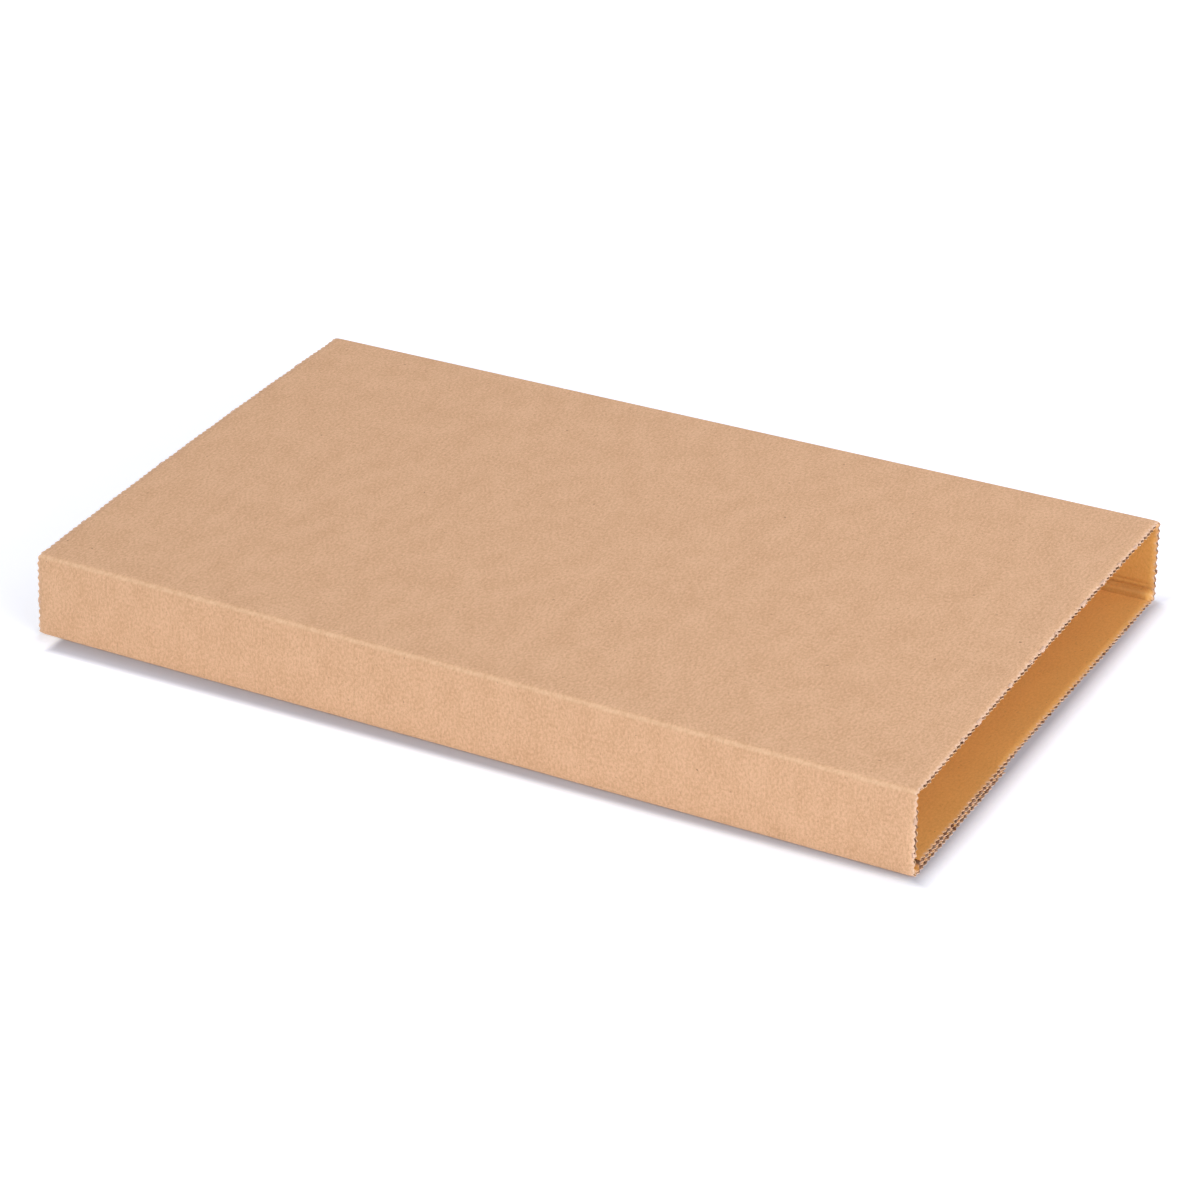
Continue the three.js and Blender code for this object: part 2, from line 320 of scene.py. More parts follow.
@dataclass
class Section:
    """The folded sheet seen from its end: five panels, four folds and a lap."""

    board: Board
    tube: Tube
    step: float = 0.1 * MM
    panels: list[Panel] = field(init=False)
    shift: Array = field(default_factory=partial(np.zeros, 3))

    def __post_init__(self) -> None:
        """Sets out the panels in the order of the blank, from the flap's free edge to the bottom's."""
        tube, board = self.tube, self.board
        near_foot, near_head = np.array([0.0, 0.0]), np.array([0.0, tube.wall_height])
        far_head, far_foot = np.array([tube.width, tube.wall_height]), np.array([tube.width, 0.0])
        free_edge = board.bead_reach + board.lap_crush_width + board.edge_gap
        lap_edge = tube.width - tube.flap
        sink = board.caliper + tube.glue
        wall = board.wall_crush()
        panel, lap = board.short_crush(board.crush_width / 2), board.short_crush(board.lap_crush_width)
        self.panels = [
            Panel(np.array([tube.flap, 0.0]), near_foot, np.zeros_like, end_crush=lap),
            Panel(near_foot, near_head, self.crown(tube.wall_bulge, tube.wall_height), wall, wall),
            Panel(near_head, far_head, self.crown(tube.top_crown, tube.width), panel, panel),
            Panel(far_head, far_foot, self.crown(tube.wall_bulge, tube.wall_height), wall, wall),
            Panel(far_foot, np.array([free_edge, 0.0]),
                  lambda distance: -sink * smoothstep(distance, board.fold_radius, lap_edge), panel),
        ]
        saving = (2 - math.pi / 2) * board.fold_radius
        blank = 0.0
        for each in self.panels:
            each.blank = blank
            blank += each.length - saving

    def crown(self, rise: float, length: float) -> Curve:
        """Gentle outward bow of a panel between its two folds.

        Args:
            rise: height of the bow at its middle.
            length: distance between the panel's two outer corners.

        Returns:
            The bow's height by distance from the first corner.
        """
        radius = self.board.fold_radius

        def bow(distance: Array) -> Array:
            """Height of the bow at distances from the first corner."""
            share = np.clip((distance - radius) / (length - 2 * radius), 0, 1)
            return 4 * rise * share * (1 - share)

        return bow

    @property
    def blank_length(self) -> float:
        """Whole length of the unfolded board across its flutes."""
        return self.panels[-1].blank + self.panels[-1].length

    def folds(self) -> Array:
        """Distance along the unfolded board of the middle of each fold."""
        radius = self.board.fold_radius
        return np.array([panel.blank + radius - radius * math.pi / 4 for panel in self.panels[1:]])

    @staticmethod
    def bend(
        before: Panel, after: Panel, inset: float, radius: float, angles: Array,
    ) -> Array:
        """Points on a circle inside the corner between two panels.

        Args:
            before: panel that ends at the corner.
            after: panel that starts there.
            inset: how far the centre lies from the corner along both panels.
            radius: radius of the circle.
            angles: degrees, 0 back along the first panel and 90 on along the second.

        Returns:
            Y and Z of each point.
        """
        back, on = -before.direction, after.direction
        turn = np.radians(angles)
        along_back = inset + radius * np.cos(turn)
        along_on = inset + radius * np.sin(turn)
        return after.corner + np.outer(along_back, back) + np.outer(along_on, on)

    def outer_rail(self) -> Rail:
        """Draws the outer face, with a round bend at each fold.

        Returns:
            The face's path.
        """
        radius = self.board.fold_radius
        blanks, places = [], []
        for index, panel in enumerate(self.panels):
            first = radius if index else 0.0
            last = panel.length - (radius if index < len(self.panels) - 1 else 0.0)
            distance = np.linspace(first, last, math.ceil((last - first) / self.step))
            blanks.append(panel.blank + distance)
            places.append(panel.at(distance, 0.0))
            if index < len(self.panels) - 1:
                share = np.linspace(0, 1, math.ceil(radius * math.pi / 2 / self.step))
                blanks.append(panel.blank + last + share * radius * math.pi / 2)
                places.append(self.bend(panel, self.panels[index + 1], radius, radius, 270 - 90 * share))
        return Rail(np.concatenate(blanks), np.concatenate(places))

    def inner_rail(self) -> Rail:
        """Draws the middle of the inner liner, with its grooves and a rolled bead at each fold.

        Returns:
            The liner's path.
        """
        board = self.board
        middle = board.caliper - board.liner / 2
        blanks, places = [], []
        first = 0.0
        for index, panel in enumerate(self.panels):
            reach = board.bead_reach + panel.end_crush[-1][0] if panel.end_crush else 0.0
            distance = np.linspace(first, panel.length - reach, math.ceil(panel.length / self.step))
            blanks.append(panel.blank + distance)
            places.append(panel.at(distance, middle))
            if index == len(self.panels) - 1:
                break
            after = self.panels[index + 1]
            first = board.bead_reach + after.start_crush[-1][0]
            corner = self.corner(panel, after, middle)
            gone = walked(corner)
            start, stop = panel.blank + panel.length - reach, after.blank + first
            blanks.append(start + (stop - start) * gone / gone[-1])
            places.append(corner)
        return Rail(np.concatenate(blanks), np.concatenate(places))

    def corner(self, before: Panel, after: Panel, middle: float) -> Array:
        """Inner liner round one fold, from whole flutes to whole flutes.

        Args:
            before: panel that ends at the fold.
            after: panel that starts there.
            middle: depth of the liner's middle below the outer face of open board.

        Returns:
            Y and Z of points a step apart, with the pressed kinks eased.
        """
        board = self.board
        leading = [
            before.at(np.array([before.length - board.bead_reach - reach]), middle - sink)
            for reach, sink in reversed(before.end_crush)
        ]
        trailing = [
            after.at(np.array([board.bead_reach + reach]), middle - sink)
            for reach, sink in after.start_crush
        ]
        angles = np.linspace(*board.bead_sweep, board.bead_chords)
        bead = self.bend(before, after, board.caliper + board.bead_lift,
                         board.bead_radius - board.liner / 2, angles)
        knots = np.concatenate([*leading, bead, *trailing])
        gone = walked(knots)
        even = np.linspace(0, gone[-1], math.ceil(gone[-1] / self.step))
        path = np.stack([np.interp(even, gone, knots[:, axis]) for axis in (0, 1)], axis=1)
        for _ in range(board.easing):
            path[1:-1] = (path[:-2] + 2 * path[1:-1] + path[2:]) / 4
        return path

    def room(self, blank: Array) -> Array:
        """Board thickness that the creases leave.

        Args:
            blank: distance along the unfolded board of each point.

        Returns:
            The thickness at each point.
        """
        board = self.board
        knots, sinks = [0.0], [0.0]
        for panel in self.panels:
            for reach, sink in panel.start_crush:
                knots.append(panel.blank + board.bead_reach + reach)
                sinks.append(sink)
            for reach, sink in reversed(panel.end_crush):
                knots.append(panel.blank + panel.length - board.bead_reach - reach)
                sinks.append(sink)
        return board.caliper - np.interp(blank, knots, sinks)

    def pinch(self, blank: Array) -> Array:
        """How far the knife presses a cut end shut, less where the lap's two boards spring back.

        Args:
            blank: distance along the unfolded board of each point.

        Returns:
            Share of the board's thickness at each point.
        """
        flap, bottom = self.panels[0], self.panels[-1]
        lap_start = bottom.blank + self.tube.width - self.tube.flap
        reach = self.board.flute_pitch
        lapped = np.maximum(1 - smoothstep(blank, flap.length - reach, flap.length),
                            smoothstep(blank, lap_start, lap_start + reach))
        return self.board.pinch * (1 - self.board.lap_relief * lapped)

    def closing(self, along: Array) -> Array:
        """1 at a cut end, where the knife has pressed the board shut, to 0 inside the sheet."""
        return 1 - smoothstep(self.inside(along), 0.0, self.board.pinch_reach)

    def inside(self, along: Array) -> Array:
        """Distance from the nearer cut end."""
        return self.tube.length / 2 - np.abs(along)

    def stand(self, along: Array, place: Array) -> Array:
        """Leans and twists points of the upright section, and moves them into the frame's box."""
        lean, height = self.tube.lean(along), place[:, 1]
        stood = np.stack([along, place[:, 0] + height * np.sin(lean), height * np.cos(lean)], axis=1)
        return stood + self.shift

    def move_into(self, low: Vector, high: Vector) -> None:
        """Moves the standing tube into the frame's box.

        Args:
            low: lowest corner of the frame's node.
            high: its highest corner.
        """
        outline = self.outer_rail().place
        corners = np.concatenate([
            self.stand(np.full(len(outline), end * self.tube.length / 2), outline) for end in (-1, 1)
        ])
        middle = (corners.min(axis=0) + corners.max(axis=0)) / 2
        self.shift = np.array([0.0, (low.y + high.y) / 2 - middle[1], low.z - corners[:, 2].min()])


class PlyKind(Enum):
    """The three papers of single-wall board, from the outside in."""

    OUTER_LINER = "outer_liner"
    FLUTED_MEDIUM = "fluted_medium"
    INNER_LINER = "inner_liner"


@dataclass
class Ply:
    """One paper of the board: laid out flat, shaped as a sheet, then folded round the tube.

    Its rows of vertices lie at from_end, in mm from either cut end, and at the middle.
    """

    kind: PlyKind
    section: Section
    spacing: float
    from_end: tuple[float, ...]
    seed: int
    sharp_angle: float = 50.0  # degrees between faces from which their edge stays sharp

    def stations(self) -> Array:
        """X of each row of vertices, close together at the cut ends."""
        inner = self.section.tube.length / 2 - np.array(self.from_end) * MM
        return np.concatenate([-inner, [0.0], inner[::-1]])

    @property
    def thickness(self) -> float:
        """Thickness of this paper."""
        board = self.section.board
        return board.medium if self.kind is PlyKind.FLUTED_MEDIUM else board.liner

    def middle_depth(self, blank: Array) -> Array:
        """Depth of the paper's middle below the face that it is folded along.

        Args:
            blank: distance along the unfolded board.

        Returns:
            Depth below the outer face, or below its own middle for the inner liner.
        """
        board = self.section.board
        if self.kind is PlyKind.OUTER_LINER:
            return np.full_like(blank, board.liner / 2)
        if self.kind is PlyKind.INNER_LINER:
            return np.zeros_like(blank)
        room = self.section.room(blank)
        height = room - 2 * board.liner - board.medium
        return room / 2 + height / 2 * np.cos(2 * math.pi * blank / board.flute_pitch)

    def flat_sheet(self) -> BMesh:
        """Makes the sheet before it is folded: X across the flutes, Y along them, Z the depth.

        Returns:
            The sheet with both its faces.
        """
        stations = self.stations()
        columns = math.ceil(self.section.blank_length / self.spacing)
        rows = len(stations) - 1
        sheet = bmesh.new()
        bmesh.ops.create_grid(sheet, x_segments=columns, y_segments=rows, size=0.5)
        shares = np.array([vertex.co[:2] for vertex in sheet.verts]) + 0.5
        blank = shares[:, 0] * self.section.blank_length
        along = np.interp(shares[:, 1] * rows, np.arange(rows + 1), stations)
        depth = self.middle_depth(blank)
        for vertex, place in zip(sheet.verts, np.stack([blank, along, depth], axis=1)):
            vertex.co = place
        sheet.normal_update()
        for vertex in sheet.verts:
            vertex.co -= vertex.normal * self.thickness / 2
        bmesh.ops.solidify(sheet, geom=sheet.faces[:], thickness=-self.thickness)
        bmesh.ops.recalc_face_normals(sheet, faces=sheet.faces)
        return sheet

    def cut_ends(self, flat: Array) -> Array:
        """Wave-cuts both ends, with the frayed paper and the pinch that the knife leaves.

        Args:
            flat: blank distance, X and depth of each vertex of the flat sheet.

        Returns:
            The same with the ends cut.
        """
        board = self.section.board
        blank, along, depth = flat.T
        fade = 1 - smoothstep(self.section.inside(along), 0.0, board.tooth_reach)
        fray = wobble(blank + self.seed, board.fray) - board.fray_sink
        cut = along + fade * (board.wave(blank) + np.sign(along) * fray)
        squeeze = self.section.pinch(blank) * self.section.closing(along)
        half_room = self.section.room(blank) / 2
        if self.kind is PlyKind.OUTER_LINER:
            depth = depth + squeeze * half_room
        elif self.kind is PlyKind.FLUTED_MEDIUM:
            depth = depth + squeeze * (half_room - depth)
        return np.stack([blank, cut, depth], axis=1)

    def fold(self, flat: Array) -> Array:
        """Folds the flat sheet round the tube and stands it up.

        Args:
            flat: blank distance, X and depth of each vertex.

        Returns:
            X, Y and Z of each vertex.
        """
        section, board = self.section, self.section.board
        blank, along, depth = flat.T
        place = section.outer_rail().at(blank, depth)
        if self.kind is PlyKind.INNER_LINER:
            pressed = section.room(blank) * (1 - section.pinch(blank) / 2) - board.liner / 2
            shut = section.outer_rail().at(blank, depth + pressed)
            closing = section.closing(along)[:, None]
            place = section.inner_rail().at(blank, depth) * (1 - closing) + shut * closing
        return section.stand(along, place)

    def build(self, finish: Material) -> Object:
        """Makes the folded ply as one object.

        Args:
            finish: the paper's material.

        Returns:
            The object, at the origin.
        """
        mesh = close_mesh(self.kind.value, self.flat_sheet())
        flat = vertex_places(mesh)
        self.mark(mesh, flat)
        place = self.fold(self.cut_ends(flat))
        mesh.vertices.foreach_set("co", place.astype(np.float32).ravel())
        mesh.shade_smooth()
        mesh.set_sharp_from_angle(angle=math.radians(self.sharp_angle))
        mesh.update()
        mesh.materials.append(finish)
        return put_in_scene(self.kind.value, mesh)

    def mark(self, mesh: Mesh, flat: Array) -> None:
        """Writes each vertex's place on the flat sheet, how near it is to folds and cuts, and where
        painted shade goes in the grooves and on the faces towards the flutes.

        Args:
            mesh: the ply's mesh, still flat.
            flat: blank distance, X and depth of each vertex.
        """
        section, board = self.section, self.section.board
        map_sheet(mesh, flat[:, :2])
        to_fold = np.abs(flat[:, :1] - section.folds()).min(axis=1)
        crease = 1 - smoothstep(to_fold, *board.crease_line)
        cut = 1 - smoothstep(section.inside(flat[:, 1]), 0.0, board.cut_line)
        # painted shade: darker in the pressed grooves, by their depth
        bruise = smoothstep(board.caliper - section.room(flat[:, 0]), *board.groove_shade_depths)
        # mask for painted shade on the liners' faces towards the flutes
        inward = -1 if self.kind is PlyKind.INNER_LINER else 1
        flute_side = inward * (flat[:, 2] - self.middle_depth(flat[:, 0])) > 0
        for name, values in ((CREASE, crease), (CUT, cut), (PAINTED_GROOVE_SHADE, bruise), (PAINTED_FLUTE_SHADE, flute_side)):
            made = mesh.attributes.new(name, "FLOAT", "POINT")
            made.data.foreach_set("value", values.astype(np.float32))


@dataclass(frozen=True)
class Grain:
    """One noise of the paper: scale for each metre, stretch, and turn in degrees on the sheet."""

    scale: float
    detail: float = 2.0
    roughness: float = 0.5
    stretch: Triple = (1, 1, 1)
    turn: float = 0.0


class Bench:
    """Adds and links the nodes of one tree, so that a finish reads from top to bottom."""

    def __init__(self, tree: NodeTree) -> None:
        """Starts on an empty tree."""
        self.tree = tree
        tree.nodes.clear()

    def add(self, kind: str, inputs: dict | None = None, **settings) -> Node:
        """Adds one node.

        Args:
            kind: the node's type, without its prefix.
            inputs: a value or a socket for each input, by name or number.
            settings: the node's own properties.

        Returns:
            The node.
        """
        node = self.tree.nodes.new(f"ShaderNode{kind}")
        for name, value in settings.items():
            setattr(node, name, value)
        for name, value in (inputs or {}).items():
            if isinstance(value, NodeSocket):
                self.tree.links.new(value, node.inputs[name])
            else:
                node.inputs[name].default_value = value
        return node

    def maths(self, operation: str, *values, clamp: bool = False) -> NodeSocket:
        """Result of one Math node."""
        return self.add("Math", dict(enumerate(values)), operation=operation, use_clamp=clamp).outputs[0]

    def band(self, value, low: float, high: float, start: float = 0.0, stop: float = 1.0):
        """Eased change of a value from start at low to stop at high."""
        inputs = {0: value, 1: low, 2: high, 3: start, 4: stop}
        return self.add("MapRange", inputs, interpolation_type="SMOOTHSTEP").outputs[0]

    def blend(self, factor, first, second):
        """Mix of two colours."""
        return self.add("Mix", {0: factor, 6: first, 7: second}, data_type="RGBA").outputs[2]

    def times(self, first, second) -> NodeSocket:
        """Product of two values."""
        return self.maths("MULTIPLY", first, second)

    def spread(self, chance, least: float, extra: float) -> NodeSocket:
        """Chance from 0 to 1, spread from the least value over the extra above it."""
        return self.maths("ADD", least, self.times(chance, extra))

    def noise(self, place, grain: Grain) -> NodeSocket:
        """Soft noise about 0.5, laid on the sheet."""
        laid = self.add("Mapping", {
            "Vector": place, "Scale": grain.stretch, "Rotation": (0, 0, math.radians(grain.turn))})
        return self.add("TexNoise", {
            "Vector": laid.outputs[0], "Scale": grain.scale, "Detail": grain.detail,
            "Roughness": grain.roughness}).outputs[0]

    def attribute(self, name: str):
        """Value of one of the ply's point attributes."""
        return self.add("Attribute", attribute_name=name).outputs["Fac"]


def new_group(
    name: str, inputs: dict[str, str], outputs: dict[str, str],
) -> tuple[NodeTree, Bench, Node, Node]:
    """Starts a shader node group.

    Args:
        name: the group's name.
        inputs: kind of each input socket, by name.
        outputs: kind of each output socket, by name.

    Returns:
        The group, its bench, its input node and its output node.
    """
    tree = bpy.data.node_groups.new(name, "ShaderNodeTree")
    for in_out, sockets in (("INPUT", inputs), ("OUTPUT", outputs)):
        for socket, kind in sockets.items():
            tree.interface.new_socket(name=socket, in_out=in_out, socket_type=f"NodeSocket{kind}")
    bench = Bench(tree)
    return tree, bench, tree.nodes.new("NodeGroupInput"), tree.nodes.new("NodeGroupOutput")


CLOUD = Grain(60, 3, 0.6, (1, 1.4, 1))
MOTTLE = Grain(760, 4, 0.8, (0.9, 1.1, 1))
LONG_FIBRE = Grain(1500, stretch=(0.22, 1, 1), turn=8)
CROSS_FIBRE = Grain(1300, stretch=(0.3, 1, 1), turn=-62)
CREASE_WEAR_AND_HIGHLIGHT = Grain(240, 4, 0.65)
FRAYED_PULP = Grain(700, 3)


@dataclass(frozen=True)
class SpeckSize:
    """Bark specks of one size: cells in a metre, share of cells with a speck, its width in cells."""

    cells: float
    share: float
    width: float
    strength: float


SPECK_SIZES = (
    SpeckSize(38, 0.22, 0.021, 0.8), SpeckSize(150, 0.12, 0.055, 0.5), SpeckSize(520, 0.18, 0.17, 0.25),
)


@dataclass
class PaperStock:
    """Node groups that every kraft paper shares: its formation and its specks of bark."""

    fibre_shares: Pair = (0.6, 0.4)  # of the long and of the cross fibres
    ragged_scale: float = 900.0
    ragged_reach: float = 0.0016  # metres that a speck's outline strays
    width_spread: Pair = (0.45, 0.9)  # least share of a speck's width, and what chance adds
    depth_spread: Pair = (0.4, 0.6)  # the same for its darkness
    soft_edge: float = 0.5
    formation: NodeTree = field(init=False)
    bark: NodeTree = field(init=False)

    def __post_init__(self) -> None:
        """Builds both groups once."""
        self.formation = self.make_formation()
        self.bark = self.make_bark()

    @staticmethod
    def on_layer(bench: Bench, given: Node) -> NodeSocket:
        """Place on the sheet, lifted to the paper's own layer so that no two papers look alike."""
        layer = bench.add("CombineXYZ", {2: given.outputs["Layer"]}).outputs[0]
        return bench.add("VectorMath", {0: given.outputs["Place"], 1: layer}, operation="ADD").outputs[0]

    def make_formation(self) -> NodeTree:
        """Makes clouds of pulp, mottle, and fibres that lie mostly across the flutes.

        Returns:
            The node group.
        """
        tree, bench, given, result = new_group(
            "paper_formation", {"Place": "Vector", "Layer": "Float"},
            {"Cloud": "Float", "Mottle": "Float", "Fibre": "Float"})
        place = self.on_layer(bench, given)
        long_fibre, cross_fibre = (
            bench.times(bench.noise(place, grain), share)
            for grain, share in zip((LONG_FIBRE, CROSS_FIBRE), self.fibre_shares)
        )
        tree.links.new(bench.noise(place, CLOUD), result.inputs["Cloud"])
        tree.links.new(bench.noise(place, MOTTLE), result.inputs["Mottle"])
        tree.links.new(bench.maths("ADD", long_fibre, cross_fibre), result.inputs["Fibre"])
        return tree

    def make_bark(self) -> NodeTree:
        """Makes sparse irregular specks, one at most in each cell of the given size.

        Returns:
            The node group.
        """
        tree, bench, given, result = new_group(
            "bark_specks", {"Place": "Vector", "Layer": "Float", "Cells": "Float", "Share": "Float",
                            "Width": "Float"}, {"Speck": "Float"})
        place = self.on_layer(bench, given)
        torn = bench.add("TexNoise", {"Vector": place, "Scale": self.ragged_scale, "Detail": 2.0})
        ragged = bench.add("VectorMath", {0: torn.outputs[1], 3: self.ragged_reach},
                           operation="SCALE")
        strayed = bench.add("VectorMath", {0: place, 1: ragged.outputs[0]}, operation="ADD")
        cells = bench.add("TexVoronoi", {
            "Vector": strayed.outputs[0], "Scale": given.outputs["Cells"]}, voronoi_dimensions="2D")
        chance = bench.add("SeparateColor", {0: cells.outputs["Color"]}).outputs
        chosen = bench.maths("LESS_THAN", chance[0], given.outputs["Share"])
        width = bench.times(given.outputs["Width"], bench.spread(chance[1], *self.width_spread))
        away = bench.maths("DIVIDE", cells.outputs["Distance"], width)
        reach = bench.maths("SUBTRACT", 1.0, away, clamp=True)
        shape = bench.times(bench.band(reach, 0.0, self.soft_edge), chosen)
        speck = bench.times(shape, bench.spread(chance[2], *self.depth_spread))
        tree.links.new(speck, result.inputs["Speck"])
        return tree


@dataclass(frozen=True)
class PaperFinish:
    """Colours of one kraft paper, linear RGB, and how lively it is."""

    name: str
    layer: float
    deep: Triple
    pale: Triple
    fibre: Triple
    # lighter colour on the folds: partly real wear, partly a painted highlight where the rounded fold
    # catches the light
    worn_and_highlit: Triple
    pulp: Triple
    # colour of bark specks and dark fibres, also used for painted shade in the grooves and on the faces
    # towards the flutes
    speck: Triple = (0.20, 0.085, 0.035)
    wear_and_highlight: float = 0.55
    fray: float = 0.75
    # strength of painted shade in the pressed grooves of the inner liner
    bruise: float = 0.0
    # strength of painted shade on the liners' faces towards the flutes, so the openings at the cut ends
    # read dark
    flute_side: float = 0.0
    specks: float = 1.0
    relief: float = 0.16

    cloud_share: float = 0.18  # of the tone; the mottle makes the rest
    tone_band: Pair = (0.38, 0.62)
    pale_fibres: Pair = (0.55, 0.72)
    pale_fibre_share: float = 0.35
    dark_fibres: Pair = (0.44, 0.30)
    dark_fibre_share: float = 0.22
    wear_and_highlight_band: Triple = (0.34, 0.62, 0.3)
    fray_band: Pair = (0.3, 0.62)
    roughness: Quad = (0.3, 0.7, 0.84, 0.96)  # band of the mottle, and what it turns into
    mottle_relief: float = 0.6
    bump_height: float = 0.12 * MM
    specular: float = 0.25
    sheen: float = 0.06
    sheen_roughness: float = 0.5

    def material(self, stock: PaperStock) -> Material:
        """Builds the paper's material.

        Args:
            stock: the node groups that all papers share.

        Returns:
            The material.
        """
        made = bpy.data.materials.new(self.name)
        made.use_nodes = True
        bench = Bench(made.node_tree)
        place = bench.add("UVMap", uv_map=SHEET_MAP).outputs[0]
        formation = bench.add("Group", {"Place": place, "Layer": self.layer},
                              node_tree=stock.formation)
        cloud, mottle, fibre = (formation.outputs[name] for name in ("Cloud", "Mottle", "Fibre"))
        tone = bench.maths("ADD", bench.times(cloud, self.cloud_share),
                           bench.times(mottle, 1 - self.cloud_share))
        colour = bench.blend(bench.band(tone, *self.tone_band), self.rgba(self.deep), self.rgba(self.pale))
        worn_and_highlit = bench.band(bench.noise(place, CREASE_WEAR_AND_HIGHLIGHT), *self.wear_and_highlight_band)
        frayed = bench.band(bench.noise(place, FRAYED_PULP), *self.fray_band)
        for factor, coat in (
            (bench.times(bench.band(fibre, *self.pale_fibres), self.pale_fibre_share), self.fibre),
            (bench.times(bench.band(fibre, *self.dark_fibres), self.dark_fibre_share), self.speck),
            *((speck, self.speck) for speck in self.bark(bench, stock, place)),
            # worn line on the folds, partly a painted highlight
            (bench.times(bench.times(bench.attribute(CREASE), worn_and_highlit), self.wear_and_highlight), self.worn_and_highlit),
            # painted shade in the pressed grooves
            (bench.times(bench.attribute(PAINTED_GROOVE_SHADE), self.bruise), self.speck),
            # painted shade: the liners' faces towards the flutes are darkened to the speck colour
            (bench.times(bench.attribute(PAINTED_FLUTE_SHADE), self.flute_side), self.speck),
            (bench.times(bench.times(bench.attribute(CUT), frayed), self.fray), self.pulp),
        ):
            colour = bench.blend(factor, colour, self.rgba(coat))
        height = bench.maths("ADD", fibre, bench.times(mottle, self.mottle_relief))
        bump = bench.add("Bump", {
            "Strength": self.relief, "Distance": self.bump_height, "Height": height})
        paper = bench.add("BsdfPrincipled", {
            "Base Color": colour, "Roughness": bench.band(mottle, *self.roughness),
            "Specular IOR Level": self.specular, "Sheen Weight": self.sheen,
            "Sheen Roughness": self.sheen_roughness, "Normal": bump.outputs[0]})
        bench.add("OutputMaterial", {"Surface": paper.outputs[0]})
        return made

    def bark(self, bench: Bench, stock: PaperStock, place) -> list[NodeSocket]:
        """Strength of the bark specks of each size."""
        return [
            bench.times(
                bench.add("Group", {
                    "Place": place, "Layer": self.layer + index, "Cells": size.cells,
                    "Share": size.share, "Width": size.width}, node_tree=stock.bark).outputs[0],
                size.strength * self.specks)
            for index, size in enumerate(SPECK_SIZES)
        ]

    @staticmethod
    def rgba(colour: Triple) -> Quad:
        """The colour with full alpha."""
        return (*colour, 1.0)


OUTER_KRAFT = PaperFinish(
    "outer_kraft", layer=0.0, deep=(0.595, 0.343, 0.196), pale=(0.758, 0.472, 0.296),
    fibre=(0.82, 0.55, 0.36), worn_and_highlit=(0.84, 0.59, 0.39), pulp=(0.90, 0.66, 0.52), wear_and_highlight=0.40,
    flute_side=0.55)
INNER_KRAFT = PaperFinish(
    "inner_kraft", layer=7.0, deep=(0.765, 0.385, 0.102), pale=(0.865, 0.462, 0.134),
    fibre=(0.86, 0.50, 0.20), worn_and_highlit=(0.84, 0.47, 0.18), pulp=(0.88, 0.64, 0.47), wear_and_highlight=0.3,
    bruise=0.20, flute_side=0.55)
# the fluted medium's colour: partly its own darker brown, partly painted shade of the flute openings at
# the cut ends
MEDIUM_KRAFT_WITH_PAINTED_SHADE = PaperFinish(
    "medium_kraft", layer=13.0, deep=(0.190, 0.075, 0.035), pale=(0.260, 0.110, 0.052),
    fibre=(0.34, 0.16, 0.08), worn_and_highlit=(0.30, 0.14, 0.07), pulp=(0.70, 0.42, 0.28), wear_and_highlight=0.0, fray=0.60)
TORN_KRAFT = PaperFinish(
    "torn_kraft", layer=19.0, deep=(0.640, 0.410, 0.290), pale=(0.790, 0.550, 0.430),
    fibre=(0.84, 0.62, 0.50), worn_and_highlit=(0.79, 0.55, 0.43), pulp=(0.84, 0.62, 0.50), specks=0.3)


@dataclass(frozen=True)
class TornBit:
    """Scrap of outer liner that the knife has torn: its end of the tube, its place and sizes in mm."""

    end: int
    from_near_head: float
    width: float
    reach: float
    cells: tuple[int, int] = (8, 7)
    held: float = 0.4  # share of the scrap that lies on the liner; the rest hangs
    root: float = 1.1
    past_cut: float = 0.25
    lift: float = 0.08
    ragged: Triple = (0.72, 0.28, 9.0)  # mean share of the reach, its wave, its radians
    narrowing: Triple = (0.45, 0.15, 5.0)  # width lost at the tip, then the same

    def add_to(self, bits: BMesh, section: Section) -> None:
        """Adds the scrap to a mesh, ragged and hanging over the cut edge's openings.

        Args:
            bits: the mesh of all scraps.
            section: the folded sheet that it is torn from.
        """
        columns, rows = self.cells
        made = bmesh.ops.create_grid(bits, x_segments=columns, y_segments=rows, size=0.5)["verts"]
        share = np.array([vertex.co[:2] for vertex in made]) + 0.5
        across, out = share[:, 0] - 0.5, share[:, 1]
        mean, wave, turns = self.ragged
        ragged = mean + wave * np.sin(turns * across + self.from_near_head)
        lost, wave, turns = self.narrowing
        narrow = 1 - lost * out + wave * np.sin(turns * out + 2 * self.from_near_head)
        middle = section.panels[2].blank + self.from_near_head * MM
        blank = middle + across * narrow * self.width * MM
        over = np.clip(out / self.held, 0, 1)
        hang = np.clip((out - self.held) / (1 - self.held), 0, 1) * ragged * self.reach
        along = self.end * (section.tube.length / 2 + (self.past_cut - self.root * (1 - over)) * MM)
        pressed = section.pinch(blank) * section.room(blank) / 2 * section.closing(along)
        depth = pressed + (hang - self.lift) * MM
        place = section.stand(along, section.outer_rail().at(blank, depth))
        for vertex, where in zip(made, place):
            vertex.co = where


TORN_BITS = tuple(TornBit(*sizes) for sizes in (
    (1, 41, 2.2, 0.9), (1, 56, 4.2, 1.6), (1, 85, 2.4, 1.0), (1, 105, 2.0, 0.9), (1, 116, 4.4, 1.5),
    (1, 130, 2.2, 0.9), (1, 157, 4.8, 1.7), (1, 177, 4.0, 1.5), (1, 194, 2.2, 0.9), (1, 211, 2.6, 1.0),
    (-1, 33, 2.4, 1.0), (-1, 92, 3.6, 1.3), (-1, 149, 2.2, 0.9), (-1, 203, 3.0, 1.2),
    (1, -12, 2.6, 1.0), (1, -27, 2.2, 0.9), (1, 262, 2.4, 1.0), (-1, -21, 2.4, 1.0), (-1, 255, 2.2, 0.9),
))


